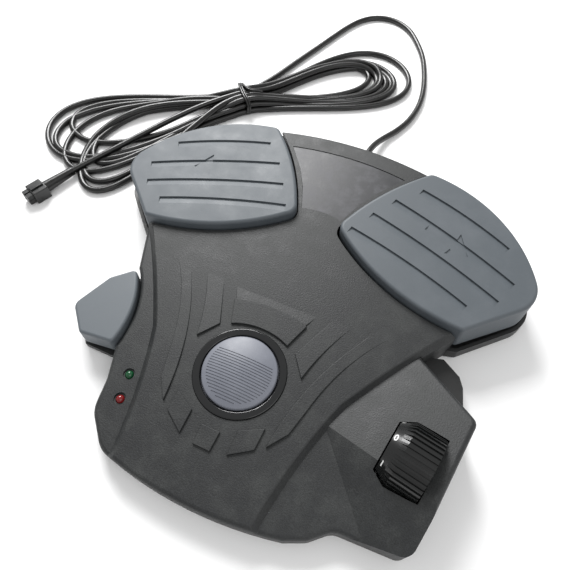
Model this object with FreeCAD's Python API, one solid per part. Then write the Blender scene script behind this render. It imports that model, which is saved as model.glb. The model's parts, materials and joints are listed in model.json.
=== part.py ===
import FreeCAD, Part
import math
import os
from FreeCAD import Vector as V

# Wired foot control of an electric trolling motor: a wedge-shaped housing with a left and a right
# steering pad, a round momentary button, a side button for constant run, a speed wheel, two signal
# lamps and a thin four-core lead in a tied hank. Lengths are in millimetres.
#
# Everything is drawn in plan from the axis of the round button: +X right, +Y towards the toe,
# Z up from the floor. save() then moves each piece so that the origin is the middle of the base.

os.makedirs("parts", exist_ok=True)

# ---- driving dimensions ------------------------------------------------------------------------
FRONT_Y = -72.0        # heel edge of the base
BACK_Y = 186.0         # toe edge of the base
RING_Z = 20.0          # top face at the round button
TOP_SLOPE = 4.0        # the top face rises towards the toe, degrees
STEP = 3.0             # drop from the middle of the cover to its shoulders
RIDGE_RUN = 4.0        # width of the slope down to the shoulders
SPLIT_Z = 9.0          # parting line between base and cover
FLOOR_GAP = 1.2        # underside of the base above the floor
WALL = 2.2             # moulded walls
EDGE_R = 2.5           # rounding of the cover's outer edge
SLIP = 0.05            # radial clearance of a shaft in its hole
GAP = 1.2              # gap round the pads
SMALL_GAP = 0.8        # gap round buttons and wheel

PAD_TOP = 26.0         # pad plane at the round button's axis
PAD_SLOPE = 0.062      # pad plane's rise towards the toe
PAD_SKIRT_Z = 12.2     # lower edge of the pads' skirts
PAD_WALL = 2.6
PAD_R = 2.2            # rounding of the pads' top edge
PAD_SWING = 2.5        # degrees
HINGE_Z = 25.0
PIN_R = 2.0
EAR = 4.0              # thickness of the hinge ears
EAR_SPAN = 40.0        # distance between the two ears' middles

BUTTON_R = 21.4
RING_R = 26.6
BUTTON_TRAVEL = 3.0
SIDE_Z = 20.0          # top of the side button
SIDE_SKIRT_Z = 8.2
SIDE_TRAVEL = 2.6
LUG_Z = 5.0            # top of the base lug under the side button

WHEEL_R = 18.0
WHEEL_TURN = -10.0     # the wheel's axis in plan, degrees from +X
WHEEL_AT = (100.4, -7.8)
WHEEL_Z = 22.2
WHEEL_RIGHT = 10.5     # the barrel's right end, along the axis
WHEEL_SHOULDER = -5.5  # where the cone starts
WHEEL_LEFT = -13.0     # the cone's small end
CONE_R = 13.6
RIBS = 36
RIB_H = 0.8

PLATE_ROOT = 1.0       # how deep the raised plates reach into the cover
BAND_H = 1.4           # height of the curved bands
PANEL_H = 1.4          # height of the middle panel
DIAMOND_H = 1.2
PLATE_R = 0.35         # rounding of their edges
FADE = 0.1             # how far the plates' back ends dip into the top
INLAY_T = 0.8          # toe panel
INLAY_DEPTH = 1.2      # recess it lies in
GROOVE_DEPTH = 1.3     # treads of the pads
GROOVE_RUN = 5.5
GROOVE_BOW = 2.0
ARROW_DEPTH = 0.7

BOARD_Z = 5.6          # underside of the circuit board
BOARD_T = 1.6
BOSS_R = 4.2           # screw bosses of the base
PILLAR_R = 3.5         # screw pillars of the cover
SCREW_R = 1.4
HEAD_R = 3.0
HEAD_Z = 4.2           # where the screw heads seat
SCREW_TIP = 12.5       # top of the cover screws, below the cover's skin
FOOT_R = 6.5
FOOT_SEAT = 2.2        # top of the rubber feet
LED_R = 2.5

CABLE_R = 2.4
GLAND_X = 4.0
GLAND_Z = 9.0
GLAND_R = 4.5          # hole through the back wall
GLAND_END = 204.0
CLAMP_Y = 172.0
HANK_H = 14.0
TIE_T = 0.9
BIG = 700.0


# ---- helpers -----------------------------------------------------------------------------------
def loop(points):
    """Closed plan wire: a pair is a corner; a pair of pairs is an arc (through, to)."""
    edges = []
    here = V(*points[0], 0)
    for step in list(points[1:]) + [points[0]]:
        if isinstance(step[0], tuple):
            end = V(*step[1], 0)
            edges.append(Part.Arc(here, V(*step[0], 0), end).toShape())
        else:
            end = V(*step, 0)
            if (end - here).Length < 1e-6:
                continue
            edges.append(Part.LineSegment(here, end).toShape())
        here = end
    return Part.Wire(edges)


def mirrored(shape):
    """The same shape on the left side."""
    return shape.mirror(V(0, 0, 0), V(1, 0, 0))


def prism(wire, low, high):
    face = Part.Face(wire)
    solid = face.extrude(V(0, 0, high - low))
    solid.translate(V(0, 0, low))
    return solid


def grown(wire, by):
    """The wire moved outwards (or inwards when negative), as lines and true arcs."""
    if by == 0:
        return wire
    edges = []
    for edge in Part.Face(wire).makeOffset2D(by, 0).OuterWire.OrderedEdges:
        start, end = edge.FirstParameter, edge.LastParameter
        a, middle, b = (edge.valueAt(start + (end - start) * share) for share in (0, 0.5, 1))
        if (middle - (a + b) * 0.5).Length < 1e-5:
            edges.append(Part.LineSegment(a, b).toShape())
        else:
            edges.append(Part.Arc(a, middle, b).toShape())
    return Part.Wire(Part.__sortEdges__(edges))


def round_uprights(solid, corners):
    """Round the upright edges nearest to the given plan points."""
    for x, y, radius in corners:
        best = None
        for edge in solid.Edges:
            a, b = edge.Vertexes[0].Point, edge.Vertexes[-1].Point
            if abs(a.x - b.x) > 1e-6 or abs(a.y - b.y) > 1e-6:
                continue
            distance = math.hypot(a.x - x, a.y - y)
            if best is None or distance < best[0]:
                best = (distance, edge)
        solid = solid.makeFillet(radius, [best[1]])
    return solid


def rounded(points, corners, shrink=0):
    """The plan wire moved inwards by shrink, with its corners rounded."""
    solid = prism(grown(loop(points), -shrink), 0, 1)
    solid = round_uprights(solid, [(x, y, radius - shrink) for x, y, radius in corners if radius > shrink])
    low = [f for f in solid.Faces if abs(f.CenterOfMass.z) < 1e-6][0]
    return low.OuterWire


def under(height, slope_x=0.0, slope_y=0.0):
    """All space below the plane z = height + slope_x * x + slope_y * y."""
    normal = V(-slope_x, -slope_y, 1.0)
    box = Part.makeBox(BIG, BIG, BIG, V(-BIG / 2, -BIG / 2, -BIG))
    box.rotate(V(0, 0, 0), V(0, 0, 1).cross(normal), math.degrees(V(0, 0, 1).getAngle(normal)))
    box.translate(V(0, 0, height))
    return box


def under_points(a, b, c, drop=0.0):
    """All space below the plane through three points, lowered by drop."""
    normal = (V(*b) - V(*a)).cross(V(*c) - V(*a))
    if normal.z < 0:
        normal = normal * -1
    slope_x, slope_y = -normal.x / normal.z, -normal.y / normal.z
    height = a[2] - slope_x * a[0] - slope_y * a[1]
    return under(height - drop, slope_x, slope_y)


def cylinder(x, y, low, high, radius):
    return Part.makeCylinder(radius, high - low, V(x, y, low))


def rod(a, b, radius):
    return Part.makeCylinder(radius, (V(*b) - V(*a)).Length, V(*a), V(*b) - V(*a))


def turned(profile):
    """A solid of revolution about Z from (radius, height) corners."""
    wire = Part.makePolygon([V(r, 0, z) for r, z in profile + profile[:1]])
    return Part.Face(wire).revolve(V(0, 0, 0), V(0, 0, 1), 360)


def tilted(solid):
    """From the button's level frame to the sloping top face."""
    solid.rotate(V(0, 0, 0), V(1, 0, 0), TOP_SLOPE)
    solid.translate(V(0, 0, RING_Z))
    return solid


def top_z(x, y):
    return RING_Z + TOP_RISE * y


def joined(first, *others):
    return first.fuse(list(others)).removeSplitter()


def upward(face):
    """How far a face points up: 1 is level, 0 is a wall."""
    return face.normalAt(*face.Surface.parameter(face.CenterOfMass)).z


def soften(solid, radius, flat, steep, inside=lambda box: True):
    """Round the long edges between a face that points up by flat and one that does by steep."""
    chosen = []
    for edge in solid.Edges:
        slants = sorted(upward(face) for face in solid.ancestorsOfType(edge, Part.Face))
        meets = len(slants) == 2 and steep[0] < slants[0] < steep[1] and flat[0] < slants[1] < flat[1]
        if meets and edge.Length > 2.0 and inside(edge.BoundBox):
            chosen.append(edge)
    return solid.makeFillet(radius, chosen)


def coil(x, y, low, high, radius, wire_r, turns):
    """A compression spring with its axis upright, its wire laid in short straight bends."""
    rise = high - low - 2 * wire_r
    bends = 20 * turns
    path = [V(x + radius * math.cos(2 * math.pi * turns * i / bends), y + radius * math.sin(2 * math.pi * turns * i / bends),
              low + wire_r + rise * i / bends) for i in range(bends + 1)]
    section = Part.Wire(Part.makeCircle(wire_r, path[0], path[1] - path[0]))
    return Part.makePolygon(path).makePipeShell([section], True, False, 1)


TOP_RISE = math.tan(math.radians(TOP_SLOPE))
MID_Y = (BACK_Y + FRONT_Y) / 2
made = {}


def save(name, shape):
    piece = shape.copy()
    piece.translate(V(0, -MID_Y, 0))
    piece.exportStep("parts/%s.step" % name)
    made[name] = shape


# ---- plan outlines -----------------------------------------------------------------------------
PAD_INNER, PAD_TOE, PAD_OUTER, PAD_HEEL = (14.5, 112), (57.5, 177), (143, 105), (106, 70.5)
PAD = [PAD_HEEL, PAD_OUTER, ((116.5, 149.5), PAD_TOE), ((31.5, 145.8), PAD_INNER), ((62, 80.5), PAD_HEEL)]
PAD_CORNERS = [(*PAD_HEEL, 3.2), (*PAD_OUTER, 20), (*PAD_TOE, 6), (*PAD_INNER, 8)]
pad_wire = rounded(PAD, PAD_CORNERS)

SIDE = [(-76.6, -13.6), ((-79.0, 12), (-92.0, 36.0)), (-104, 24), (-113, -1), (-98, -16)]
SIDE_CORNERS = [(-92, 36.0, 3.0), (-104, 24, 6), (-113, -1, 6), (-98, -16, 4), (-76.6, -13.6, 3.0)]
side_wire = rounded(SIDE, SIDE_CORNERS)

HEEL_LEFT, HEEL_RIGHT = (-62, -62), (67, -61)
POD_HEEL, POD_FRONT, POD_BACK, POD_NOTCH = (77, -52), (113, -50), (125.5, 22), (90, 50)
FRONT = [(-50, -66.3), ((0, FRONT_Y), (56, -66.0)), HEEL_RIGHT, POD_HEEL, POD_FRONT, POD_BACK, POD_NOTCH]
LEFT = [(-92, 38), ((-78.0, 14), (-75.5, -13)), (-69, -32), (-66, -50)]
FRONT_CORNERS = [(*HEEL_RIGHT, 10), (*POD_HEEL, 10), (*POD_FRONT, 6), (*POD_BACK, 5), (-69, -32, 20), (-66, -50, 16),
                 (-50, -66.3, 16)]

# The cover fills the housing between the pads; the base carries on below them as a rim.
NECK = [(104.2, 69.2), ((61.5, 79.0), (13.0, 110.0)), ((30.0, 146.4), (55.5, 179.2)),
        ((0, BACK_Y), (-55.5, 179.2)), ((-30.0, 146.4), (-13.0, 110.0)), ((-61.5, 79.0), (-104.2, 69.2))]
COVER = FRONT + NECK + LEFT
NECK_CORNERS = [(13.0, 110.0, 9), (-13.0, 110.0, 9)]
cover_wire = rounded(COVER, FRONT_CORNERS + NECK_CORNERS)

RIM = [(103, 67.0), (109, 68.6), (145.2, 104.2), ((118.4, 152.0), (55.5, 179.2)), ((0, BACK_Y), (-55.5, 179.2)),
       ((-118.4, 152.0), (-145.2, 104.2)), (-109, 68.6), (-103, 67.0)]
RIM_CORNERS = [(145.2, 104.2, 22), (-145.2, 104.2, 22), (109, 68.6, 3), (-109, 68.6, 3)]
BLANK_LUG = [(123.2, 24.0), (117.5, 47.5), (114, 53.5), (103, 60.5), (94, 58), (86, 46), (120, 16)]
SIDE_LUG = [(-94, 38), (-104.5, 26), (-113.5, -0.5), (-98.5, -16.5), (-74, -16.5), (-72, 10)]


# ---- the cover's solid mass --------------------------------------------------------------------
def ridge_wire(grow):
    """Outline of the raised middle of the cover; grow moves its two ridges outwards."""
    right = [(40 + grow, -120), (40 + grow, -66), ((48 + grow, -25), (58 + grow, 6)),
             ((76.5 + grow, 36), (101 + grow, 70)), (180, 120), (180, 240)]
    left = [(-180, 240), (-180, 120), (-101 - grow, 70), ((-76.5 - grow, 36), (-58 - grow, 6)),
            ((-48 - grow, -25), (-40 - grow, -66)), (-40 - grow, -120)]
    return loop(right + left)


POD_AREA = [(41, -66), (46, -30), (60, 6), (83, 42), (90.8, 51), (150, 20), (150, -90), (41, -90)]
POD_LOW, POD_HIGH, POD_REAR = (57, -7, 17.4), (120, 18, 30.0), (88, 48, 21.0)
CREASE_A, CREASE_B, APRON = (57, -7, 17.4), (84, -12.5, 24.6), (79, -36, 14.6)
TOP_FACE, WALL_FACE, RIDGE_FACE = (0.9, 1.1), (-0.01, 0.01), (0.5, 0.8)


def cover_mass(inset, drop):
    """The housing's filled shape above the parting line, shrunk by inset and lowered by drop."""
    column = prism(grown(cover_wire, -inset), SPLIT_Z, 60)
    low = column.common(under(RING_Z - STEP - drop, 0, TOP_RISE))
    foot = ridge_wire(RIDGE_RUN - inset)
    foot.translate(V(0, 0, -STEP - 0.4 - drop))
    brow = ridge_wire(-inset)
    brow.translate(V(0, 0, -drop))
    middle = tilted(Part.makeLoft([foot, brow], True, True)).common(column)
    pod = prism(loop(POD_AREA), SPLIT_Z, 60).common(column)
    pod = pod.common(under_points(POD_LOW, POD_HIGH, POD_REAR, drop))
    pod = pod.common(under_points(CREASE_A, CREASE_B, APRON, drop))
    return [mass.Solids[0] for mass in (low, middle, pod)]


def outer_cover():
    """The cover's outside: its three masses with their rims rounded, then joined."""
    low, middle, pod = cover_mass(0, 0)
    low = soften(low, EDGE_R, TOP_FACE, WALL_FACE)
    middle = soften(middle, EDGE_R, TOP_FACE, WALL_FACE, lambda box: box.YMax < -60 or box.YMin > 170)
    middle = soften(middle, 1.2, TOP_FACE, RIDGE_FACE, lambda box: box.YLength > 50)
    pod = soften(pod, EDGE_R, (0.8, 1.1), WALL_FACE, lambda box: box.XMin > 89.5 and box.YMax > 10)
    return joined(low, middle, pod)


# ---- base shell --------------------------------------------------------------------------------
PLATE_Z = FLOOR_GAP + WALL      # top of the bottom plate
SCREWS = [(-42, -56), (45, -56), (100, -42), (-84, 52), (80, 56), (-6, 98), (30, 168), (-30, 168)]
BOARD_POSTS = [(-58, 18), (16, 18), (16, -40), (-46, -40)]
FEET = [(-54, -40), (60, -44), (108, -15), (118, 108), (-118, 108), (34, 150), (-34, 150)]
HINGE_A, HINGE_B = (58, 161), (122, 134)
HINGE_MID = ((HINGE_A[0] + HINGE_B[0]) / 2, (HINGE_A[1] + HINGE_B[1]) / 2)
HINGE_TURN = math.degrees(math.atan2(HINGE_B[1] - HINGE_A[1], HINGE_B[0] - HINGE_A[0]))
EYE_R = 4.5                     # round end of ears and lugs
LUG_GAP = 0.5                   # between a pad's lug and the base's ear
PAD_SPRING, PAD_SWITCH = (66, 100), (50, 104)
SIDE_SPRING, SIDE_SWITCH = (-93, 4), (-88, 17)
SIDE_GUIDES = [(-86, -6), (-97, 17)]
GUIDE_R, SLEEVE_WALL = 2.0, 1.2
CLAMP_HALF, CLAMP_DEPTH = 9.0, 8.0
rim_wire = rounded(RIM, RIM_CORNERS)


def at_hinge(solid):
    """From a frame with X along the right pad's hinge line to its place."""
    solid.rotate(V(0, 0, 0), V(0, 0, 1), HINGE_TURN)
    solid.translate(V(*HINGE_MID, 0))
    return solid


def eye(middle, low, high, bore):
    """A plate across the hinge line with a round eye for the pin."""
    plate = Part.makeBox(EAR, 2 * EYE_R, high - low, V(middle - EAR / 2, -EYE_R, low))
    ring = rod((middle - EAR / 2, 0, HINGE_Z), (middle + EAR / 2, 0, HINGE_Z), EYE_R)
    hole = rod((middle - EAR, 0, HINGE_Z), (middle + EAR, 0, HINGE_Z), bore)
    return plate.fuse(ring).cut(hole)


def base_shell():
    full = prism(cover_wire, FLOOR_GAP, SPLIT_Z)
    outline = full.fuse([prism(rim_wire, FLOOR_GAP, SPLIT_Z), prism(loop(BLANK_LUG), FLOOR_GAP, SPLIT_Z),
                         prism(loop(SIDE_LUG), FLOOR_GAP, LUG_Z)])
    under_pads = prism(grown(rim_wire, -WALL), PLATE_Z, SPLIT_Z + 1).cut(prism(cover_wire, 0, SPLIT_Z + 2))
    under_cover = prism(grown(cover_wire, -WALL), PLATE_Z, SPLIT_Z + 1)
    tray = outline.cut([under_pads, under_cover])
    stands = [cylinder(x, y, FLOOR_GAP, SPLIT_Z, BOSS_R) for x, y in SCREWS]
    stands += [cylinder(x, y, FLOOR_GAP, BOARD_Z, BOSS_R - 1.2) for x, y in BOARD_POSTS]
    stands += [cylinder(x, y, FLOOR_GAP, SPLIT_Z - 1, 3.4) for x, y in (PAD_SPRING, (-PAD_SPRING[0], PAD_SPRING[1]))]
    stands.append(cylinder(0, 0, FLOOR_GAP, SPLIT_Z - 1, 4.0))
    stands += [cylinder(x, y, FLOOR_GAP, SIDE_Z - 5.4, GUIDE_R) for x, y in SIDE_GUIDES]
    ears = [at_hinge(eye(side * EAR_SPAN / 2, FLOOR_GAP, HINGE_Z, PIN_R)) for side in (-1, 1)]
    ears += [mirrored(ear) for ear in ears]
    cradle = Part.makeBox(2 * CLAMP_HALF, CLAMP_DEPTH, GLAND_Z - FLOOR_GAP,
                          V(GLAND_X - CLAMP_HALF, CLAMP_Y - CLAMP_DEPTH / 2, FLOOR_GAP))
    solid = tray.fuse(stands + ears + [cradle])
    cuts = [cylinder(x, y, 0, SPLIT_Z + 1, SCREW_R + 0.3) for x, y in SCREWS]
    cuts += [cylinder(x, y, 0, HEAD_Z, HEAD_R + 0.2) for x, y in SCREWS]
    cuts += [cylinder(x, y, 0, FOOT_SEAT, FOOT_R) for x, y in FEET]
    cuts += [cylinder(x, y, PLATE_Z + 0.6, BOARD_Z + 1, SCREW_R - 0.15) for x, y in BOARD_POSTS]
    cuts.append(rod((GLAND_X, BACK_Y - 6, GLAND_Z), (GLAND_X, BACK_Y + 2, GLAND_Z), GLAND_R))
    cuts.append(rod((GLAND_X, CLAMP_Y - 6, GLAND_Z), (GLAND_X, CLAMP_Y + 5, GLAND_Z), CABLE_R))
    cuts += [cylinder(x, CLAMP_Y, SPLIT_Z - 4, SPLIT_Z + 1, SCREW_R - 0.15) for x in CLAMP_SCREWS]
    return solid.cut(cuts).removeSplitter()


CLAMP_SCREWS = [GLAND_X - 6.2, GLAND_X + 6.2]
save("base_shell", base_shell())

# ---- top cover ---------------------------------------------------------------------------------
OUTER_BAND = [(31, -31), ((37, 2), (49, 32)), (64, 59), (78, 61), ((57, 33), (44.5, 2)), (39, -20)]
INNER_BAND = [(24, 22), (37, 53), (51, 55), ((40, 33), (33, 10))]
PANEL = [(-18, 24.5), ((0, 28.5), (18, 24.5)), (23.5, 40), ((0, 43.5), (-23.5, 40))]
PANEL_TAIL = [(-21, 37), ((0, 40.5), (21, 37)), (27, 49.5), ((0, 52), (-27, 49.5))]
DIAMOND = [(26.5, -22.5), (26, -34.5), (14, -42.5), (14, -29)]
SQUARE = [(5.5, -33.5), (5, -44.5), (-5, -44.5), (-5.5, -33.5)]
INLAY = [(-42, 168), ((0, 172.5), (42, 168)), (29, 151), (21, 137), (14, 119), ((0, 121), (-14, 119)),
         (-21, 137), (-29, 151)]
GREEN_LED, RED_LED = (-58, -25), (-55, -39)


def raised(points, front, front_h, back, back_h):
    """A plate on the sloping top, front_h high at y = front and back_h at y = back."""
    fade = (front_h - back_h) / (back - front)
    slab = prism(loop(points), SPLIT_Z, 60).common(under(RING_Z + front_h + fade * front, 0, TOP_RISE - fade))
    slab = slab.cut(under(RING_Z - PLATE_ROOT, 0, TOP_RISE)).Solids[0]
    return soften(slab, PLATE_R, TOP_FACE, WALL_FACE)


def raised_plates():
    right = [raised(OUTER_BAND, -31, BAND_H, 59, -FADE), raised(INNER_BAND, 10, BAND_H, 53, -FADE),
             raised(DIAMOND, -40, DIAMOND_H, -20, DIAMOND_H)]
    middle = [raised(PANEL, 24, PANEL_H, 44, PANEL_H), raised(PANEL_TAIL, 37, PANEL_H * 0.7, 49.5, -FADE),
              raised(SQUARE, -44, DIAMOND_H, -33, DIAMOND_H)]
    return right + [mirrored(plate) for plate in right] + middle


def in_wheel(solid):
    """From a frame with the wheel's axis along Z to its place; local +X ends up pointing down."""
    solid.rotate(V(0, 0, 0), V(0, 1, 0), 90)
    solid.rotate(V(0, 0, 0), V(0, 0, 1), WHEEL_TURN)
    solid.translate(V(*WHEEL_AT, WHEEL_Z))
    return solid


def shoulder_z(x, y):
    return RING_Z - STEP + TOP_RISE * y


def top_cover():
    skin = outer_cover()
    shell = skin.cut(joined(*cover_mass(WALL, WALL)))
    pillars = [cylinder(x, y, SPLIT_Z, 60, PILLAR_R).common(skin) for x, y in SCREWS]
    shell = shell.fuse(raised_plates() + pillars)
    g = SMALL_GAP
    window = in_wheel(turned([(0, WHEEL_LEFT - g), (CONE_R + g * 0.8, WHEEL_LEFT - g),
                              (WHEEL_R + g, WHEEL_SHOULDER - g / 2), (WHEEL_R + g, WHEEL_RIGHT + g),
                              (0, WHEEL_RIGHT + g)]))
    cuts = [tilted(cylinder(0, 0, -8, 8, RING_R + 0.2)), window]
    cuts += [cylinder(x, y, SPLIT_Z - 1, SCREW_TIP + 0.5, SCREW_R) for x, y in SCREWS]
    for x, y in (GREEN_LED, RED_LED):
        cuts.append(cylinder(x, y, SPLIT_Z, 40, LED_R + 0.1))
        cuts.append(cylinder(x, y, shoulder_z(x, y) - 0.8, 40, LED_R + 1.0))
    cuts.append(rod((GLAND_X, BACK_Y - 6, GLAND_Z), (GLAND_X, BACK_Y + 2, GLAND_Z), GLAND_R))
    cuts.append(prism(loop(INLAY), SPLIT_Z, 60).cut(under(RING_Z - INLAY_DEPTH, 0, TOP_RISE)))
    return shell.cut(cuts)


cover = top_cover()
save("top_cover", cover)
panel = prism(grown(loop(INLAY), -0.2), SPLIT_Z, 60).common(under(RING_Z - INLAY_DEPTH + INLAY_T, 0, TOP_RISE))
save("toe_inlay", panel.cut(under(RING_Z - INLAY_DEPTH, 0, TOP_RISE)))

# ---- fasteners and feet ------------------------------------------------------------------------
def group(solids):
    return Part.makeCompound(solids)


def screw(x, y, seat, tip, shank_r, head_r, head_h, up):
    """A pan-head screw; its head sits above the seat when up is 1 and below it when -1."""
    head = cylinder(x, y, min(seat, seat + up * head_h), max(seat, seat + up * head_h), head_r)
    drive = Part.makeBox(0.8, 1.4 * head_r, 0.8, V(x - 0.4, y - 0.7 * head_r, 0))
    cross = Part.makeBox(1.4 * head_r, 0.8, 0.8, V(x - 0.7 * head_r, y - 0.4, 0))
    face = seat + up * head_h
    for slot in (drive, cross):
        slot.translate(V(0, 0, face - 0.8 if up > 0 else face))
    return head.fuse(cylinder(x, y, min(seat, tip), max(seat, tip), shank_r)).cut([drive, cross]).removeSplitter()


save("cover_screws", group([screw(x, y, HEAD_Z, SCREW_TIP, SCREW_R, HEAD_R, 2.0, -1) for x, y in SCREWS]))
save("rubber_feet", group([cylinder(x, y, 0, FOOT_SEAT, FOOT_R) for x, y in FEET]))
BOARD_TOP = BOARD_Z + BOARD_T
save("board_screws", group([screw(x, y, BOARD_TOP, PLATE_Z + 0.6, SCREW_R - 0.15, 2.6, 1.6, 1)
                            for x, y in BOARD_POSTS]))

# ---- circuit board and what stands on it -------------------------------------------------------
BOARD = (-62, -44, 20, 22)
board = Part.makeBox(BOARD[2] - BOARD[0], BOARD[3] - BOARD[1], BOARD_T, V(BOARD[0], BOARD[1], BOARD_Z))
save("circuit_board", board.cut([cylinder(0, 0, 0, 20, 9)] +
                                [cylinder(x, y, 0, 20, SCREW_R - 0.15) for x, y in BOARD_POSTS]))
PLUNGER_Z = 12.0


def push_switch(x, y, low, wide, deep, high, plunger_r, plunger_top):
    body = Part.makeBox(wide, deep, high, V(x - wide / 2, y - deep / 2, low))
    return body.fuse(cylinder(x, y, low + high - 0.5, plunger_top, plunger_r)).removeSplitter()


BUTTON_SWITCH_X = 13.5
save("momentary_switch", push_switch(BUTTON_SWITCH_X, 0, BOARD_TOP, 6, 6, 3.5, 1.6, PLUNGER_Z))
save("constant_switch", push_switch(*SIDE_SWITCH, LUG_Z, 6, 6, 3.5, 1.6, LUG_Z + 5))
right_switch = push_switch(*PAD_SWITCH, PLATE_Z, 12.8, 5.8, 6.5, 1.4, PLUNGER_Z)
save("right_pad_switch", right_switch)
save("left_pad_switch", mirrored(right_switch))
for lamp, (x, y) in (("green_led", GREEN_LED), ("red_led", RED_LED)):
    tip = shoulder_z(x, y) + 1.2
    bulb = cylinder(x, y, 10, tip - LED_R, LED_R).fuse([Part.makeSphere(LED_R, V(x, y, tip - LED_R)),
                                                        cylinder(x, y, 9, 10, LED_R + 0.5)])
    legs = [cylinder(x + side * 1.27, y, BOARD_TOP, 9.2, 0.3) for side in (-1, 1)]
    save(lamp, bulb.fuse(legs).removeSplitter())
chip = Part.makeBox(18, 7.5, 2.6, V(-45, -14, BOARD_TOP + 0.4))
pins = []
for step in range(7):
    for y in (-15.4, -6.5):
        pins.append(Part.makeBox(0.8, 1.4, 1.4, V(-44.2 + 2.54 * step, y, BOARD_TOP)))
save("control_chip", chip.fuse(pins).removeSplitter())
HEADER = (-6, 12, 16, 7, 5)
header = Part.makeBox(HEADER[2], HEADER[3], HEADER[4], V(HEADER[0], HEADER[1], BOARD_TOP))
CORES = [HEADER[0] + 2 + 4 * step for step in range(4)]
save("terminal_header", header.cut([cylinder(x, HEADER[1] + 2.5, BOARD_TOP + 3.6, 20, 1.4) for x in CORES]))

# ---- cable inside the housing ------------------------------------------------------------------
CABLE_STOP = 60.0
core_jacket = rod((GLAND_X, CABLE_STOP, GLAND_Z), (GLAND_X, BACK_Y, GLAND_Z), CABLE_R)
save("inner_cable", core_jacket)
wires = []
for number, x in enumerate(CORES):
    start = (GLAND_X + (-1.0, 1.0)[number % 2], CABLE_STOP, GLAND_Z + (-1.0, -1.0, 1.0, 1.0)[number])
    wire = rod(start, (x, HEADER[1] + HEADER[3], BOARD_TOP + 1.8), 0.6)
    wires.append(wire.cut([core_jacket, header]))
save("core_wires", group(wires))
gland = turned([(0, BACK_Y - 4.6), (5.5, BACK_Y - 4.6), (5.5, BACK_Y - 2.6), (GLAND_R, BACK_Y - 2.6),
                (GLAND_R, BACK_Y + 0.2), (6, BACK_Y + 0.2), (6, BACK_Y + 2), (5, BACK_Y + 2.2),
                (3.2, GLAND_END), (0, GLAND_END)])
gland.rotate(V(0, 0, 0), V(1, 0, 0), -90)
gland.translate(V(GLAND_X, 0, GLAND_Z))
save("cable_gland", gland.cut(rod((GLAND_X, 170, GLAND_Z), (GLAND_X, 210, GLAND_Z), CABLE_R)))
clamp = Part.makeBox(2 * CLAMP_HALF, CLAMP_DEPTH, 4, V(GLAND_X - CLAMP_HALF, CLAMP_Y - CLAMP_DEPTH / 2, GLAND_Z))
save("cable_clamp", clamp.cut([rod((GLAND_X, 160, GLAND_Z), (GLAND_X, 180, GLAND_Z), CABLE_R)] +
                              [cylinder(x, CLAMP_Y, 0, 20, SCREW_R - 0.15) for x in CLAMP_SCREWS]))
save("clamp_screws", group([screw(x, CLAMP_Y, GLAND_Z + 4, SPLIT_Z - 4, SCREW_R - 0.15, 2.4, 1.4, 1)
                            for x in CLAMP_SCREWS]))

# ---- steering pads -----------------------------------------------------------------------------
TREADS = [((56, 161), (118, 136)), ((42, 146), (126, 112)), ((32, 130), (120, 97)), ((23, 114), (104, 87))]
ARROW = [(96, 120), (82, 117), (84.6, 122), (66, 130), (68.5, 136), (86, 127.5), (88, 135)]
PAD_TILT = math.degrees(math.atan(PAD_SLOPE))
RIB_END = 14.8


def on_pad(solid):
    """From a level frame to the pads' sloping top."""
    solid.rotate(V(0, 0, 0), V(1, 0, 0), PAD_TILT)
    solid.translate(V(0, 0, PAD_TOP))
    return solid


def tread(a, b):
    """A curved sawtooth groove, deepest along its back edge from a to b."""
    a, b = V(*a, 0), V(*b, 0)
    half = (b - a).Length / 2
    back = V(0, 0, 1).cross((b - a).normalize())
    radius = (half ** 2 + GROOVE_BOW ** 2) / (2 * GROOVE_BOW)
    centre = (a + b) * 0.5 + back * (GROOVE_BOW - radius)
    spread = math.degrees(math.asin(half / radius))
    profile = [V(radius, 0, 1), V(radius, 0, -GROOVE_DEPTH), V(radius - GROOVE_RUN, 0, 0), V(radius - GROOVE_RUN, 0, 1)]
    face = Part.Face(Part.makePolygon(profile + profile[:1]))
    cutter = face.revolve(V(0, 0, 0), V(0, 0, 1), 2 * spread)
    cutter.rotate(V(0, 0, 0), V(0, 0, 1), math.degrees(math.atan2(back.y, back.x)) - spread)
    cutter.translate(centre)
    return on_pad(cutter)


def pad():
    outer = prism(pad_wire, PAD_SKIRT_Z, 60).common(under(PAD_TOP, 0, PAD_SLOPE)).Solids[0]
    outer = soften(outer, PAD_R, TOP_FACE, WALL_FACE)
    inner = prism(rounded(PAD, PAD_CORNERS, PAD_WALL), PAD_SKIRT_Z - 1, 60)
    inner = inner.common(under(PAD_TOP - PAD_WALL, 0, PAD_SLOPE))
    reach = EAR_SPAN / 2 - EAR - LUG_GAP
    lugs = [at_hinge(eye(side * reach, HINGE_Z, 60, PIN_R + SLIP)).common(outer) for side in (-1, 1)]
    x, y = PAD_SWITCH
    lugs.append(cylinder(x, y, RIB_END, 60, 2.4).common(outer))
    x, y = PAD_SPRING
    lugs.append(cylinder(x, y, PAD_TOP + PAD_SLOPE * y - PAD_WALL - 3, 60, 3.5).common(outer))
    shell = outer.cut(inner).fuse(lugs).removeSplitter()
    arrow = on_pad(prism(loop(ARROW), -ARROW_DEPTH, 4))
    return shell.cut([tread(a, b) for a, b in TREADS] + [arrow])


right_pad = pad()
save("right_pad", right_pad)
save("left_pad", mirrored(right_pad))
PIN_HALF = EAR_SPAN / 2 + EAR / 2 + 0.5
hinge_pin = at_hinge(rod((-PIN_HALF, 0, HINGE_Z), (PIN_HALF, 0, HINGE_Z), PIN_R))
save("right_pad_pin", hinge_pin)
save("left_pad_pin", mirrored(hinge_pin))
y = PAD_SPRING[1]
for side, x in (("right", PAD_SPRING[0]), ("left", -PAD_SPRING[0])):
    save(side + "_pad_spring", coil(x, y, PLATE_Z, PAD_TOP + PAD_SLOPE * y - PAD_WALL - 0.6, 4.8, 0.5, 6))

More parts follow.
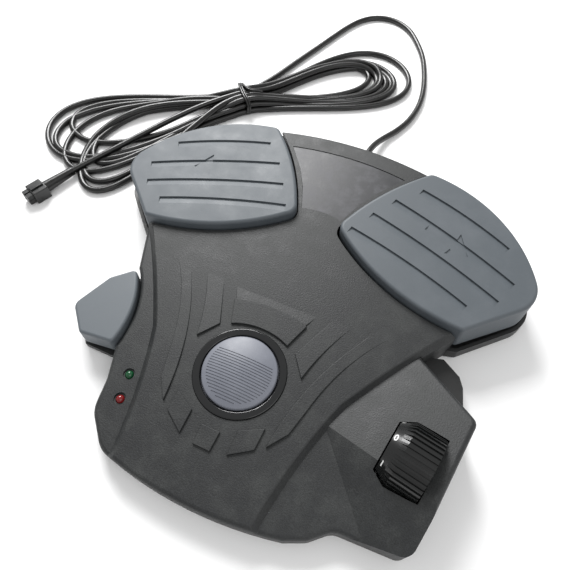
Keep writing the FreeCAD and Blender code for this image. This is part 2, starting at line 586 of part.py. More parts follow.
# ---- round momentary button --------------------------------------------------------------------
CROWN, BUTTON_EDGE, BUTTON_WALL, SKIRT_END = 5.5, 1.5, 2.4, -6.0
RING_TOP, RING_FOOT = 0.9, -4.0
LIP_R, LIP_TOP = 23.4, -4.3
SERRATION, SERRATION_W, SERRATION_D = 1.6, 0.5, 0.35


def button():
    rise = CROWN - BUTTON_EDGE
    ball_r = (BUTTON_R ** 2 + rise ** 2) / (2 * rise)
    ball = Part.makeSphere(ball_r, V(0, 0, CROWN - ball_r))
    outer = cylinder(0, 0, SKIRT_END, CROWN + 1, BUTTON_R).common(ball).Solids[0]
    rim = [e for e in outer.Edges if abs(e.BoundBox.ZMax - BUTTON_EDGE) < 0.01 and e.BoundBox.ZLength < 0.01]
    outer = outer.makeFillet(1.2, rim)
    inner = cylinder(0, 0, SKIRT_END - 1, CROWN + 1, BUTTON_R - BUTTON_WALL)
    inner = inner.common(Part.makeSphere(ball_r, V(0, 0, CROWN - ball_r - BUTTON_WALL)))
    lip = cylinder(0, 0, SKIRT_END, LIP_TOP, LIP_R).cut(cylinder(0, 0, SKIRT_END - 1, LIP_TOP + 1, BUTTON_R - 0.5))
    stem = cylinder(0, 0, SKIRT_END - 1.5, CROWN, 3.0).common(ball)
    slots = []
    for step in range(17):
        y = -17.6 + SERRATION * step
        reach = math.sqrt(18.5 ** 2 - y ** 2)
        slots.append(Part.makeBox(2 * reach, SERRATION_W, 9, V(-reach, y - SERRATION_W / 2, 0)))
    shell_r = ball_r - SERRATION_D
    slots = Part.makeCompound(slots).cut(Part.makeSphere(shell_r, V(0, 0, CROWN - ball_r)))
    solid = tilted(outer.cut(inner).fuse([lip, stem]).cut(slots))
    probe = cylinder(BUTTON_SWITCH_X, 0, PLUNGER_Z + BUTTON_TRAVEL + 0.4, RING_Z + 2.4, 2.0)
    return solid.fuse(probe).removeSplitter()


save("centre_button", button())
ring = turned([(BUTTON_R + SMALL_GAP, RING_FOOT), (RING_R + 1.9, RING_FOOT), (RING_R + 1.9, -WALL),
               (RING_R, -WALL), (RING_R, RING_TOP), (BUTTON_R + SMALL_GAP, RING_TOP)])
lips = [e for e in ring.Edges if e.BoundBox.ZMin > RING_TOP - 0.01]
save("button_ring", tilted(ring.makeFillet(0.8, lips)))
save("centre_button_spring", coil(0, 0, PLATE_Z, RING_Z + CROWN - BUTTON_WALL - 1.4, 6.5, 0.8, 5))

# ---- side button -------------------------------------------------------------------------------
SIDE_WALL = 2.4
outer = soften(prism(side_wire, SIDE_SKIRT_Z, SIDE_Z), 1.8, TOP_FACE, WALL_FACE)
inner = prism(grown(side_wire, -SIDE_WALL), SIDE_SKIRT_Z - 1, SIDE_Z - SIDE_WALL)
sleeve_r = GUIDE_R + SLIP + SLEEVE_WALL
posts = [cylinder(x, y, SIDE_SKIRT_Z + 0.8, SIDE_Z - 1, sleeve_r) for x, y in SIDE_GUIDES]
posts.append(cylinder(*SIDE_SWITCH, LUG_Z + 5 + SIDE_TRAVEL + 0.4, SIDE_Z - 1, 2.0))
bores = [cylinder(x, y, 0, SIDE_Z - SIDE_WALL, GUIDE_R + SLIP) for x, y in SIDE_GUIDES]
save("side_button", outer.cut(inner).fuse(posts).cut(bores).removeSplitter())
save("side_button_spring", coil(*SIDE_SPRING, LUG_Z, SIDE_Z - SIDE_WALL - 0.2, 4.5, 0.6, 5))

# ---- speed wheel -------------------------------------------------------------------------------
RIB_START, HOLLOW_R, HOLLOW_FROM, SHAFT_R = -9.0, 14.5, 0.5, 3.0
POT_R, POT_FROM, POT_TO = 5.2, 2.0, 11.4


def wheel():
    growth = (WHEEL_R - CONE_R) / (WHEEL_SHOULDER - WHEEL_LEFT)
    rib_r = CONE_R + growth * (RIB_START - WHEEL_LEFT)
    floor_r = WHEEL_R - RIB_H
    envelope = turned([(0, WHEEL_LEFT), (CONE_R, WHEEL_LEFT), (WHEEL_R, WHEEL_SHOULDER), (WHEEL_R, WHEEL_RIGHT),
                       (0, WHEEL_RIGHT)])
    core = turned([(0, WHEEL_LEFT), (CONE_R, WHEEL_LEFT), (rib_r, RIB_START), (floor_r, WHEEL_SHOULDER + 0.3),
                   (floor_r, WHEEL_RIGHT), (0, WHEEL_RIGHT)])
    ribs = []
    for step in range(RIBS):
        rib = Part.makeBox(5, 1.1, WHEEL_RIGHT - RIB_START, V(WHEEL_R - 4, -0.55, RIB_START))
        rib.rotate(V(0, 0, 0), V(0, 0, 1), 360.0 / RIBS * step)
        ribs.append(rib)
    ribs = Part.makeCompound(ribs).common(envelope)
    solid = core.fuse(ribs.Solids)
    hollow = cylinder(0, 0, HOLLOW_FROM, WHEEL_RIGHT + 1, HOLLOW_R)
    bore = cylinder(0, 0, WHEEL_LEFT + 1, WHEEL_RIGHT + 1, SHAFT_R)
    return in_wheel(solid.cut([hollow, bore]).removeSplitter())


save("speed_wheel", wheel())
save("wheel_shaft", in_wheel(cylinder(0, 0, WHEEL_LEFT + 1, POT_TO - 0.5, SHAFT_R)))
pot = cylinder(0, 0, POT_FROM, POT_TO, POT_R).cut(cylinder(0, 0, 0, 20, SHAFT_R + SLIP))
tabs = [Part.makeBox(5.5, 1.4, 0.6, V(POT_R - 1.5, side * 3 - 0.7, POT_TO - 2)) for side in (-1, 0, 1)]
save("potentiometer", in_wheel(pot.fuse(tabs)))
BRACKET_TOP = 27.0
plate = Part.makeBox(BRACKET_TOP - PLATE_Z, 18, 1.8, V(WHEEL_Z - BRACKET_TOP, -9, POT_TO))
foot = Part.makeBox(1.8, 18, 4.0, V(WHEEL_Z - PLATE_Z - 1.8, -9, POT_TO))
save("wheel_bracket", in_wheel(plate.fuse(foot).removeSplitter()))

# ---- cord: lead, hank, tie and connector -------------------------------------------------------
LEAD = [(4, 186, 9.0), (4, 204, 9.0), (5, 220, 7.4), (9, 236, 3.4), (17, 252, 2.4), (22.5, 270, 2.4), (24, 292, 2.4),
        (21, 314, 2.4), (15, 337, 2.4), (7, 360, 2.4), (-5, 381, 2.4), (-17, 398, 2.4), (-33, 408, 2.4),
        (-50, 408.5, 2.4), (-64, 399, 2.4), (-73, 383, 2.4), (-80, 362, 2.4), (-88, 335, 2.4),
        (-98, 304, 2.4), (-106, 276, 2.4)]
HANK = [(-124, 243), ((-89, 300), (-47, 350)), ((-12, 350), (7, 318)), ((-5, 276), (-48, 252)),
        ((-80, 238), (-110, 224)), ((-128, 180), (-150, 115)), ((-178, 81), (-214, 92)), (-240, 115),
        ((-262, 150), (-240, 177)), ((-207, 187), (-124, 243))]
TIE_AT, TIE_TURN, TIE_WIDE, TIE_LONG = (-117, 233), 42, 21.8, 3.6


def smooth_path(points):
    """Straight runs joined by tangent arcs; prints each arc's radius."""
    points = [V(*p) for p in points]
    edges, here, radii = [], points[0], []
    for before, corner, after in zip(points, points[1:], points[2:]):
        back, ahead = before - corner, after - corner
        turn = math.pi - back.getAngle(ahead)
        cut = 0.45 * min(back.Length, ahead.Length)
        radii.append(round(cut / math.tan(turn / 2), 1))
        back.normalize()
        ahead.normalize()
        start, end = corner + back * cut, corner + ahead * cut
        inward = (back + ahead).normalize()
        radius = cut / math.tan(turn / 2)
        middle = corner + inward * (math.hypot(radius, cut) - radius)
        edges.append(Part.LineSegment(here, start).toShape())
        edges.append(Part.Arc(start, middle, end).toShape())
        here = end
    edges.append(Part.LineSegment(here, points[-1]).toShape())
    print("cord radii", radii)
    return Part.Wire(edges)


path = smooth_path(LEAD)
section = Part.Wire(Part.makeCircle(CABLE_R, V(*LEAD[0]), V(*LEAD[1]) - V(*LEAD[0])))
lead = path.makePipeShell([section], True, True)
print("lead length", round(path.Length, 1), "volume ratio",
      round(lead.Volume / (math.pi * CABLE_R ** 2 * path.Length), 4))
save("cable_lead", lead)


def turned_about(solid, x, y, degrees):
    """Turned about the upright through the origin, then moved to a plan point."""
    solid.rotate(V(0, 0, 0), V(0, 0, 1), degrees)
    solid.translate(V(x, y, 0))
    return solid


tie_high = HANK_H + TIE_T + 0.1
tie = Part.makeBox(TIE_LONG, TIE_WIDE, tie_high, V(-TIE_LONG / 2, -TIE_WIDE / 2, 0))
opening = Part.makeBox(2 * TIE_LONG, TIE_WIDE - 2 * TIE_T, tie_high - 2 * TIE_T,
                       V(-TIE_LONG, TIE_T - TIE_WIDE / 2, TIE_T))
tail = rod((0, TIE_WIDE / 2 - 1, HANK_H - 3), (0, TIE_WIDE / 2 + 11, HANK_H - 6), 0.9)
tie = turned_about(tie.fuse(tail).cut(opening).removeSplitter(), *TIE_AT, TIE_TURN)
save("cable_tie", tie)
hank = prism(loop(HANK), 0, HANK_H).cut(tie)

BOOT_FROM, BOOT_TO, PLUG_TURN = (-198, 101), (-206, 78.3), 250.6
PLUG_AXIS_Z, PLUG_LONG, PLUG_WIDE, PLUG_HIGH = 5.0, 11.5, 13.0, 10.0
NOSE, NOSE_LONG, NOSE_PITCH, CONTACT_R = 3.6, 4.5, 4.0, 0.8
boot_run = V(BOOT_TO[0] - BOOT_FROM[0], BOOT_TO[1] - BOOT_FROM[1], 0)
boot = Part.makeCone(3.2, 4.4, boot_run.Length, V(*BOOT_FROM, PLUG_AXIS_Z), boot_run)


def at_plug(solid):
    """From a frame with the plug's nose along +X and its back face at the origin."""
    return turned_about(solid, *BOOT_TO, PLUG_TURN)


plug = Part.makeBox(PLUG_LONG, PLUG_WIDE, PLUG_HIGH, V(0, -PLUG_WIDE / 2, 0))
plug = plug.makeFillet(0.8, plug.Edges)
latch = Part.makeBox(PLUG_LONG - 2, 4, 1.4, V(1, -2, PLUG_HIGH - 0.2))
noses, holes, contacts = [], [], []
for row in (-0.5, 0.5):
    for side in (-0.5, 0.5):
        y, z = 2 * side * NOSE_PITCH / 1.6, PLUG_AXIS_Z + row * NOSE_PITCH
        noses.append(Part.makeBox(NOSE_LONG + 1, NOSE, NOSE, V(PLUG_LONG - 1, y - NOSE / 2, z - NOSE / 2)))
        holes.append(rod((PLUG_LONG - 6, y, z), (PLUG_LONG + NOSE_LONG + 1, y, z), CONTACT_R))
        contacts.append(rod((PLUG_LONG - 6, y, z), (PLUG_LONG + NOSE_LONG - 1, y, z), CONTACT_R))
housing = at_plug(plug.fuse(noses + [latch]).cut(holes).removeSplitter())
save("connector_housing", housing)
boot = boot.cut(housing)
save("cable_hank", hank.cut([boot, housing]))
save("connector_boot", boot)
save("connector_contacts", at_plug(group(contacts)))
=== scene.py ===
"""The looks of a wired foot control: camera, finishes, lead, wire tie, dial numbers, floor and light."""
import json
import math

import bpy
import numpy as np
from mathutils import Matrix, Vector


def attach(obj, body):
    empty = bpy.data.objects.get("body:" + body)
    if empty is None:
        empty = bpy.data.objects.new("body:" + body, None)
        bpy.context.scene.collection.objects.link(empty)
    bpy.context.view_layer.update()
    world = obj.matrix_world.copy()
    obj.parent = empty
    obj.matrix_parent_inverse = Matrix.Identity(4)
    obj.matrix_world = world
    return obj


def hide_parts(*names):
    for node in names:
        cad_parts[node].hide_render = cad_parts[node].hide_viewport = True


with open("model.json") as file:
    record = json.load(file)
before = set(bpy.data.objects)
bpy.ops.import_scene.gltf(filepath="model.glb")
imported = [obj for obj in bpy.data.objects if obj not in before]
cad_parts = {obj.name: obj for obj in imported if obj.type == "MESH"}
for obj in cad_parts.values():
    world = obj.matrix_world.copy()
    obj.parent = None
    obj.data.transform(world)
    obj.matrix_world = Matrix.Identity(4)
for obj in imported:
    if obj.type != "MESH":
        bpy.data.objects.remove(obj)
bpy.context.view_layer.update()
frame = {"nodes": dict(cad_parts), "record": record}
MM = 0.001


# ---- camera ------------------------------------------------------------------------------------
CAMERA_AT = (0.0697, -0.1472, 0.2803)       # metres
AZIMUTH, TILT, ROLL = 24.7, 33.0, -0.4      # degrees: round from +Y, up from straight down, about the view
LENS, SENSOR = 31.58, 36.0                  # mm


def set_camera():
    data = bpy.data.cameras.new("camera")
    data.lens = LENS
    data.sensor_width = SENSOR
    data.clip_start = 0.01
    camera = bpy.data.objects.new("camera", data)
    bpy.context.scene.collection.objects.link(camera)
    turn = Matrix.Rotation(math.radians(AZIMUTH), 4, "Z") @ Matrix.Rotation(math.radians(TILT), 4, "X")
    camera.matrix_world = Matrix.Translation(CAMERA_AT) @ turn @ Matrix.Rotation(math.radians(ROLL), 4, "Z")
    bpy.context.scene.camera = camera


set_camera()


# ---- how a finish is put together --------------------------------------------------------------
def linear(code):
    """A colour given as sRGB hex, turned to the linear values that a shader takes."""
    parts = [int(code[i:i + 2], 16) / 255 for i in (1, 3, 5)]
    return tuple(p / 12.92 if p <= 0.04045 else ((p + 0.055) / 1.055) ** 2.4 for p in parts) + (1.0,)


def add(tree, kind, settings=None, links=None):
    """Adds one node: settings go to its properties or inputs, and links join other outputs to its inputs."""
    node = tree.nodes.new(kind)
    for name, value in (settings or {}).items():
        if isinstance(name, str) and hasattr(node, name):
            setattr(node, name, value)
        else:
            node.inputs[name].default_value = value
    for name, socket in (links or {}).items():
        tree.links.new(socket, node.inputs[name])
    return node


def start(name):
    """A new material, its node tree, its shader, and the object's own coordinates in metres."""
    material = bpy.data.materials.new(name)
    material.use_nodes = True
    tree = material.node_tree
    place = add(tree, "ShaderNodeTexCoord").outputs["Object"]
    return material, tree, tree.nodes["Principled BSDF"], place


NOISE_LOW, NOISE_HIGH = 0.3, 0.7    # the share of a noise's range that most of its points keep to
WORN_FROM, WORN_FULL = 0.46, 0.74   # the cloud noise where rubbing begins to show and where it shows fully
ROUGH_SPREAD = 0.08                 # how far moulded plastic's roughness strays each way
HAZE_LOW, HAZE_HIGH = 0.6, 1.5      # a polished skin's least and greatest roughness, as shares of its own


def moulded(name, colour, rubbed, grain_mm, depth_mm, rough, wear, patch_mm, fleck):
    """Moulded plastic: a grain of its mould, a cloudy shade and patches that rubbing has turned paler."""
    material, tree, shader, place = start(name)
    grain = add(tree, "ShaderNodeTexNoise", {"Scale": 1 / (grain_mm * MM), "Detail": 3.0}, {"Vector": place})
    cloud = add(tree, "ShaderNodeTexNoise", {"Scale": 1 / (patch_mm * MM), "Detail": 7.0, "Roughness": 0.66},
                {"Vector": place})
    rub = add(tree, "ShaderNodeMapRange", {"From Min": WORN_FROM, "From Max": WORN_FULL, "To Max": wear},
              {"Value": cloud.outputs["Fac"]})
    # a Mix node for colours: input 0 is the share, inputs 6 and 7 are the colours, output 2 is the mixture
    tint = add(tree, "ShaderNodeMix", {"data_type": "RGBA", 6: linear(colour), 7: linear(rubbed)},
               {0: rub.outputs["Result"]})
    speck = add(tree, "ShaderNodeMapRange",
                {"From Min": NOISE_LOW, "From Max": NOISE_HIGH, "To Min": 1 - fleck, "To Max": 1 + fleck},
                {"Value": grain.outputs["Fac"]})
    hue = add(tree, "ShaderNodeHueSaturation", None,
              {"Color": tint.outputs[2], "Value": speck.outputs["Result"]})
    tree.links.new(hue.outputs["Color"], shader.inputs["Base Color"])
    dull = add(tree, "ShaderNodeMapRange",
               {"From Min": NOISE_LOW, "From Max": NOISE_HIGH,
                "To Min": rough - ROUGH_SPREAD, "To Max": rough + ROUGH_SPREAD},
               {"Value": cloud.outputs["Fac"]})
    tree.links.new(dull.outputs["Result"], shader.inputs["Roughness"])
    bump = add(tree, "ShaderNodeBump", {"Distance": depth_mm * MM}, {"Height": grain.outputs["Fac"]})
    tree.links.new(bump.outputs["Normal"], shader.inputs["Normal"])
    return material


def polished(name, colour, rough, wave_mm, metallic=0.0, depth_mm=0.02):
    """A smooth skin, plastic or metal, that flow marks or drawing marks keep from being a mirror."""
    material, tree, shader, place = start(name)
    shader.inputs["Base Color"].default_value = linear(colour)
    shader.inputs["Metallic"].default_value = metallic
    wave = add(tree, "ShaderNodeTexNoise", {"Scale": 1 / (wave_mm * MM), "Detail": 4.0}, {"Vector": place})
    haze = add(tree, "ShaderNodeMapRange", {"To Min": rough * HAZE_LOW, "To Max": rough * HAZE_HIGH},
               {"Value": wave.outputs["Fac"]})
    tree.links.new(haze.outputs["Result"], shader.inputs["Roughness"])
    bump = add(tree, "ShaderNodeBump", {"Distance": depth_mm * MM}, {"Height": wave.outputs["Fac"]})
    tree.links.new(bump.outputs["Normal"], shader.inputs["Normal"])
    return material


FINISH = {
    # ABS out of a spark-eroded mould: charcoal, dull, with a grain that catches light as fine specks
    "cover": moulded("eroded_charcoal_abs", "#191b1c", "#303231", 0.7, 0.16, 0.54, 0.8, 15.0, 0.5),
    # the same ABS from a plainer mould: flatter and a little darker
    "base": moulded("plain_black_abs", "#191a1a", "#272726", 0.7, 0.04, 0.5, 0.5, 18.0, 0.1),
    # a smoother panel that shoes have rubbed cloudy
    "inlay": moulded("rubbed_smooth_abs", "#1d1e22", "#45454a", 0.9, 0.02, 0.42, 0.9, 10.0, 0.08),
    # grey ABS with a fine grain: even, with faint handling marks
    "pads": moulded("fine_grey_abs", "#4e5459", "#5c6166", 0.4, 0.04, 0.55, 0.5, 22.0, 0.05),
    # the same ABS in a lighter grey
    "side_key": moulded("light_grey_abs", "#565c61", "#646a6e", 0.4, 0.04, 0.55, 0.4, 16.0, 0.05),
    # pale grey ABS, smooth between its ribs
    "round_key": moulded("smooth_pale_grey_abs", "#696c75", "#7b7e87", 0.6, 0.02, 0.46, 0.4, 14.0, 0.03),
    # polished black ABS: sharp soft-box reflections
    "ring": polished("polished_ring_abs", "#141516", 0.16, 8.0),
    # the same polish on the wheel, which fingers have hazed a little
    "wheel": polished("polished_wheel_abs", "#121313", 0.22, 6.0),
    # PVC jacket: black, satin, with long highlights
    "cable": polished("satin_pvc_jacket", "#0a0a09", 0.3, 3.0, depth_mm=0.03),
    # moulded rubber: the dullest black
    "feet": moulded("moulded_rubber", "#1b1b1c", "#262626", 0.8, 0.05, 0.8, 0.3, 9.0, 0.06),
    # zinc-plated steel: bright, with a slight haze
    "steel": polished("zinc_plated_steel", "#b9bcc0", 0.3, 0.8, 1.0),
    # drawn wire: a greyer steel
    "spring_steel": polished("drawn_spring_wire", "#8e9094", 0.28, 0.5, 1.0),
    # solder mask over glass laminate: green and glossy
    "board": polished("green_solder_mask", "#0e5a2d", 0.3, 2.0),
    # PBT of the switches, the chip and the like: fine and dull
    "switch": moulded("black_switch_pbt", "#1e1f20", "#2b2b2b", 0.5, 0.02, 0.5, 0.2, 6.0, 0.04),
    # tinted epoxy lamps, unlit: deep colour under a glassy skin
    "green_lens": polished("green_epoxy", "#0a4526", 0.08, 3.0, depth_mm=0.004),
    "red_lens": polished("red_epoxy", "#6f1214", 0.08, 3.0, depth_mm=0.004),
    # brass of pins and contacts
    "brass": polished("tinned_brass", "#c9a75e", 0.3, 0.6, 1.0),
    # uncoloured nylon: warm white
    "nylon": moulded("natural_nylon", "#d6d3c4", "#e0ddcf", 0.5, 0.02, 0.45, 0.2, 8.0, 0.02),
    # glass-filled nylon: black with a slight shine on its edges
    "connector": moulded("black_filled_nylon", "#191a1a", "#2e2e2e", 0.5, 0.03, 0.36, 0.5, 5.0, 0.08),
    # PVC of the lead's cores: red and satin
    "core": polished("red_core_pvc", "#8c1b16", 0.4, 2.0),
}
# pad-printed ink of the dial numbers: flat white, a little worn
INK = moulded("white_pad_ink", "#e4e5e3", "#b5b6b4", 0.3, 0.01, 0.6, 0.5, 1.5, 0.04)


def dress_frame():
    """Every CAD node takes the finish of its slot in the record."""
    for part in frame["record"]["subparts"]:
        mesh = frame["nodes"][part["node"]].data
        mesh.materials.clear()
        mesh.materials.append(FINISH[part["material_slot"]])


dress_frame()

# ---- lead and hank -----------------------------------------------------------------------------
# lengths are in mm here, except the lead's own
CABLE = 4.8                         # diameter
LEAD = [(4, 129, 9), (4, 147, 9), (5, 163, 7.4), (9, 179, 3.4), (17, 195, 2.4), (22.5, 213, 2.4),
        (24, 235, 2.4), (21, 257, 2.4), (15, 280, 2.4), (7, 303, 2.4), (-5, 324, 2.4), (-17, 341, 2.4),
        (-33, 351, 2.4), (-50, 351.5, 2.4), (-64, 342, 2.4), (-73, 326, 2.4), (-80, 305, 2.4),
        (-88, 278, 2.4), (-98, 247, 2.4), (-106, 219, 2.4)]
TAIL = [(-158, 147, 15.5), (-165, 122, 15), (-172, 103, 14.5), (-182, 78, 12), (-193, 56, 8), (-199, 42, 5.2),
        (-202, 34, 5.0), (-204, 27, 5.0)]
TIE_AT = (-117, 176)
TIE_TURN = math.radians(42)         # the hank's own line, from +X
# side and height of each pass through the tie: towards the left loops, and back towards the right ones
OUT_SLOTS = [(9.6, 2.6), (4.8, 2.6), (7.2, 6.8), (0, 2.6), (2.4, 6.8), (4.8, 11), (-2.4, 6.8), (0, 11)]
BACK_SLOTS = [(-14.4, 2.6), (-9.6, 2.6), (-12, 6.8), (-4.8, 2.6), (-7.2, 6.8), (-9.6, 11), (-4.8, 11)]
# each loop's reach, its half width, and how far its end swings to one side
RIGHT_LOOPS = [(156, 40, -1), (134, 26, -5), (140, 31, -3), (123, 22, 3),
               (131, 24, -1), (137, 27, -7), (127, 23, -3)]
LEFT_LOOPS = [(169, 40, 2), (144, 33, -22), (164, 31, -1), (137, 27, -15),
              (157, 36, -9), (150, 28, 6), (148, 38, -24)]
LOOP_ROUND = 2.2                    # a loop's way round, as a multiple of its reach
STEP = 9.0                          # about how far apart a loop's points are
LOOP_START = 8                      # where a loop begins, from the tie's middle
SLOT_FADE = 1.3                     # how fast a loop leaves the side and height of its slot
DROP_PEAK = 0.65                    # the greatest value of sin(2t) sin(t)^2, which shapes a loop's width
TIE_HOLDS = 6                       # half the length of a pass that the tie holds
TAIL_HELD = 3                       # points at the connector that stay where they are
LYING = CABLE / 2                   # height of the cable's middle where it lies on the floor
# how the turns settle: rounds, then for each round how far a point falls, the share of an overlap that
# is pushed apart and the most one push may be, and the shares of a bend smoothed and of a drift undone
ROUNDS, FALL, PUSH, PUSH_MOST, SMOOTH, HOMING = 260, 0.06, 0.35, 1.5, 0.22, 0.05
NEIGHBOURS = 3                      # points this near along the cable don't push each other


def from_tie(along, side, height):
    """A point given along the hank's line, to its side and up, in the frame."""
    c, s = math.cos(TIE_TURN), math.sin(TIE_TURN)
    return (TIE_AT[0] + along * c - side * s, TIE_AT[1] + along * s + side * c, height)


def loop_points(way, enter, leave, size):
    """One loop: a drop shape from slot to slot of the tie. way is 1 to the right and -1 to the left."""
    reach, half, swing = size
    count = round(LOOP_ROUND * reach / STEP / 2) * 2
    points = []
    for i in range(2, count - 1):
        turn = math.pi * i / count
        out = math.sin(turn) ** 2       # 0 at the tie and 1 at the loop's end
        slot = enter if i <= count / 2 else leave
        toward = 1 if enter[0] > leave[0] else -1
        drop = half / DROP_PEAK * math.sin(2 * turn) * math.sin(turn) ** 2 * toward
        fade = (1 - out) ** SLOT_FADE
        bend = swing * (out * reach / 100) ** 2
        points.append(from_tie(way * (LOOP_START + (reach - LOOP_START) * out),
                               drop + slot[0] * fade + bend, LYING + (slot[1] - LYING) * fade))
    return points


def settle(points, held):
    """Lets the turns fall on the floor and on each other, a diameter apart, while the held points stay."""
    rest = points.copy()
    count = len(points)
    apart = np.abs(np.subtract.outer(np.arange(count), np.arange(count))) > NEIGHBOURS
    for _ in range(ROUNDS):
        points[:, 2] -= FALL
        gap = points[:, None, :] - points[None, :, :]
        far = np.sqrt((gap ** 2).sum(2)) + 1e-6     # never zero, because it divides
        push = np.where(apart & (far < CABLE), (CABLE - far) / far * PUSH, 0.0)
        points += (gap * push[:, :, None]).clip(-PUSH_MOST, PUSH_MOST).sum(1)
        middle = (points[:-2] + points[2:]) / 2 - points[1:-1]
        points[1:-1] += SMOOTH * middle
        points[:, :2] += HOMING * (rest[:, :2] - points[:, :2])
        points[:, 2] = points[:, 2].clip(LYING, None)
        points[held] = rest[held]
    return points


def hank_points():
    """The turns between the lead and the tail, and the passes through the tie between them."""
    route, held = [], []

    def through(slot, way):
        for along in (TIE_HOLDS, -TIE_HOLDS):
            held.append(len(route))
            route.append(from_tie(along * way, *slot))

    through(OUT_SLOTS[0], 1)
    for turn, (left, right) in enumerate(zip(LEFT_LOOPS, RIGHT_LOOPS)):
        route.extend(loop_points(-1, OUT_SLOTS[turn], BACK_SLOTS[turn], left))
        through(BACK_SLOTS[turn], -1)
        route.extend(loop_points(1, BACK_SLOTS[turn], OUT_SLOTS[turn + 1], right))
        through(OUT_SLOTS[turn + 1], 1)
    first = len(LEAD)
    whole = np.array(LEAD + route + TAIL, dtype=float)
    held = [first + i for i in held] + list(range(first))
    held += list(range(len(whole) - TAIL_HELD, len(whole)))
    return settle(whole, held)


def lay_cord(name, points, thick, material):
    """A cord of one smooth spline through its control points, in mm."""
    curve = bpy.data.curves.new(name, "CURVE")
    curve.dimensions = "3D"
    curve.bevel_depth = thick / 2 * MM
    curve.bevel_resolution = 4
    curve.resolution_u = 5
    curve.use_fill_caps = True
    spline = curve.splines.new("NURBS")
    spline.points.add(len(points) - 1)
    for point, place in zip(spline.points, points):
        point.co = (place[0] * MM, place[1] * MM, place[2] * MM, 1.0)
    spline.order_u = 3
    spline.use_endpoint_u = True
    curve.materials.append(material)
    cord = bpy.data.objects.new(name, curve)
    bpy.context.scene.collection.objects.link(cord)
    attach(cord, "housing")
    return cord


LEAD_CORD = lay_cord("lead_and_hank", hank_points(), CABLE, FINISH["cable"])
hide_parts("cable_lead", "cable_hank")


# ---- wire tie ----------------------------------------------------------------------------------
TIE_WIRE = 1.9                      # mm, over its plastic
TIE_MIDDLE, TIE_WIDE = -2.4, 16     # mm: the rounds' middle, to the side of the tie, and half their width
TIE_LOW, TIE_HIGH = 0.95, 14.6      # mm: heights of the wire under the bundle and over it
TIE_ROUNDS, POINTS_A_ROUND = 2, 16
TIE_FROM = 0.5                      # radians from the side: where the first round begins
SQUARENESS = 0.7                    # 1 makes a round an ellipse, and less makes it squarer
TIE_PITCH, TIE_WANDER = 1.7, 0.5    # mm along the bundle: from round to round, and to and fro
# the loose ends, from the tie: along the hank, to the side and up
SHORT_END = [(6, -1, 14.4), (3, 0.5, 15.6)]
LONG_END = [(3, -2, 15.8), (6, -5, 15.2), (11, -5.5, 14.6), (15, -7.5, 13.4)]


def make_tie():
    """A plastic-covered wire: two rounds of the bundle, a twist on its upper side and two loose ends."""
    rounds = []
    for i in range(TIE_ROUNDS * POINTS_A_ROUND + 1):
        turn = 2 * math.pi * i / POINTS_A_ROUND + TIE_FROM
        c, s = math.cos(turn), math.sin(turn)
        side = TIE_MIDDLE + TIE_WIDE * math.copysign(abs(c) ** SQUARENESS, c)
        up = (TIE_HIGH + TIE_LOW) / 2 + (TIE_HIGH - TIE_LOW) / 2 * math.copysign(abs(s) ** SQUARENESS, s)
        along = TIE_PITCH * (i / POINTS_A_ROUND - 1) + TIE_WANDER * math.sin(3 * turn)
        rounds.append((along, side, up))
    points = [from_tie(*place) for place in SHORT_END + rounds + LONG_END]
    tie = lay_cord("wire_tie", points, TIE_WIRE, FINISH["cable"])
    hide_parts("cable_tie")
    return tie


TIE = make_tie()


# ---- dial numbers ------------------------------------------------------------------------------
WHEEL_AT = Vector((100.4, -64.8, 22.2))             # the wheel's middle, in mm
WHEEL_AXIS = Vector((math.cos(math.radians(-10)), math.sin(math.radians(-10)), 0))
CONE_FROM, CONE_TO = (-13.0, 13.6), (-5.5, 18.0)    # mm along the axis, and radius, at the cone's two ends
DIGIT_TALL, DIGIT_THICK = 3.3, 0.16                 # mm
FONT_PER_DIGIT = 1.4                                # the font's size over the height of its digits
DIGIT_BOLD = 0.0001                                 # metres that the strokes are widened by
DIGIT_FROM_RIM = 0.2                                # share of the cone's length
ZERO_AT, NUMBER_STEP = 4, 58                        # degrees: the 0 from straight up, and number to number


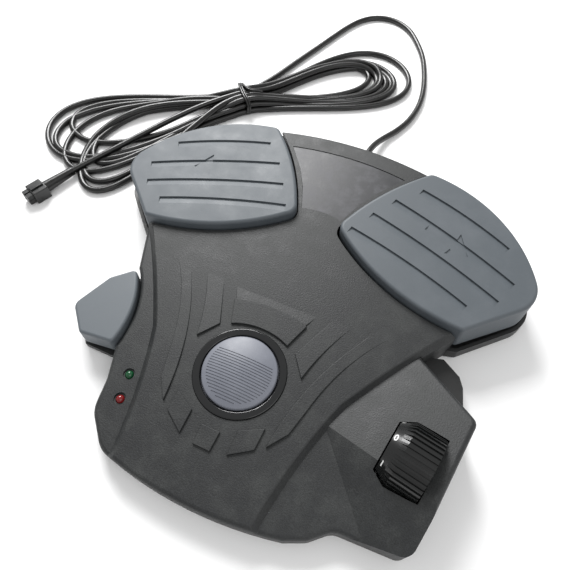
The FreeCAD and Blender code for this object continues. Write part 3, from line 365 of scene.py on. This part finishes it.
def dial_number(value, angle):
    """One printed number on the wheel's cone, angle in degrees from straight up towards the toe."""
    bpy.ops.object.text_add(location=(0, 0, 0))
    text = bpy.context.active_object
    text.data.body = str(value)
    text.data.size = DIGIT_TALL * FONT_PER_DIGIT * MM
    text.data.extrude = DIGIT_THICK / 2 * MM
    text.data.align_x, text.data.align_y = "CENTER", "CENTER"
    text.data.offset = DIGIT_BOLD
    bpy.ops.object.convert(target="MESH")
    digit = bpy.context.active_object
    digit.name = "dial_number_%d" % value
    around = Vector((-WHEEL_AXIS.y, WHEEL_AXIS.x, 0))
    turn = math.radians(angle)
    out = around * math.sin(turn) + Vector((0, 0, 1)) * math.cos(turn)
    slope = math.atan2(CONE_TO[1] - CONE_FROM[1], CONE_TO[0] - CONE_FROM[0])
    across = WHEEL_AXIS * math.cos(slope) + out * math.sin(slope)
    normal = (out * math.cos(slope) - WHEEL_AXIS * math.sin(slope)).normalized()
    upward = normal.cross(across)
    along = [a + (b - a) * DIGIT_FROM_RIM for a, b in zip(CONE_FROM, CONE_TO)]
    spot = WHEEL_AT + WHEEL_AXIS * along[0] + out * along[1] + normal * DIGIT_THICK / 2
    basis = Matrix((across, upward, normal)).transposed().to_4x4()
    digit.data.transform(Matrix.Translation(spot * MM) @ basis)
    digit.data.materials.clear()
    digit.data.materials.append(INK)
    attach(digit, "speed_wheel")
    digit.select_set(False)


bpy.ops.object.select_all(action="DESELECT")
for number in range(6):
    dial_number(number, ZERO_AT - NUMBER_STEP * number)


# ---- floor and light ---------------------------------------------------------------------------
FLOOR_SIZE, FLOOR_DOWN = 6, 0.0002          # metres: it lies a hair below the feet
PAPER_WHITE, PAPER_ROUGH = 0.93, 0.9
SKY_STRENGTH = 0.62
# each area light: name, place, what it points at, side in metres, power in watts
LIGHTS = (("window", (-0.75, 1.0, 1.0), (0, 0.05, 0), 0.7, 34),
          ("fill", (0.9, -0.5, 1.1), (0, 0, 0), 1.2, 6))


def set_stage():
    """White paper under the object, an even white sky and two soft lights."""
    bpy.ops.mesh.primitive_plane_add(size=FLOOR_SIZE, location=(0, 0, -FLOOR_DOWN))
    floor = bpy.context.active_object
    floor.name = "floor"
    paper, _, shader, _ = start("white_paper")
    shader.inputs["Base Color"].default_value = (PAPER_WHITE, PAPER_WHITE, PAPER_WHITE, 1)
    shader.inputs["Roughness"].default_value = PAPER_ROUGH
    floor.data.materials.append(paper)
    world = bpy.data.worlds.new("studio")
    bpy.context.scene.world = world
    world.use_nodes = True
    sky = world.node_tree.nodes["Background"]
    sky.inputs["Color"].default_value = (1, 1, 1, 1)
    sky.inputs["Strength"].default_value = SKY_STRENGTH
    for name, place, aim, size, power in LIGHTS:
        lamp = bpy.data.lights.new(name, "AREA")
        lamp.size = size
        lamp.energy = power
        light = bpy.data.objects.new(name, lamp)
        bpy.context.scene.collection.objects.link(light)
        light.location = place
        light.rotation_euler = (Vector(aim) - Vector(place)).to_track_quat("-Z", "Y").to_euler()
    bpy.context.scene.view_settings.view_transform = "Standard"


set_stage()
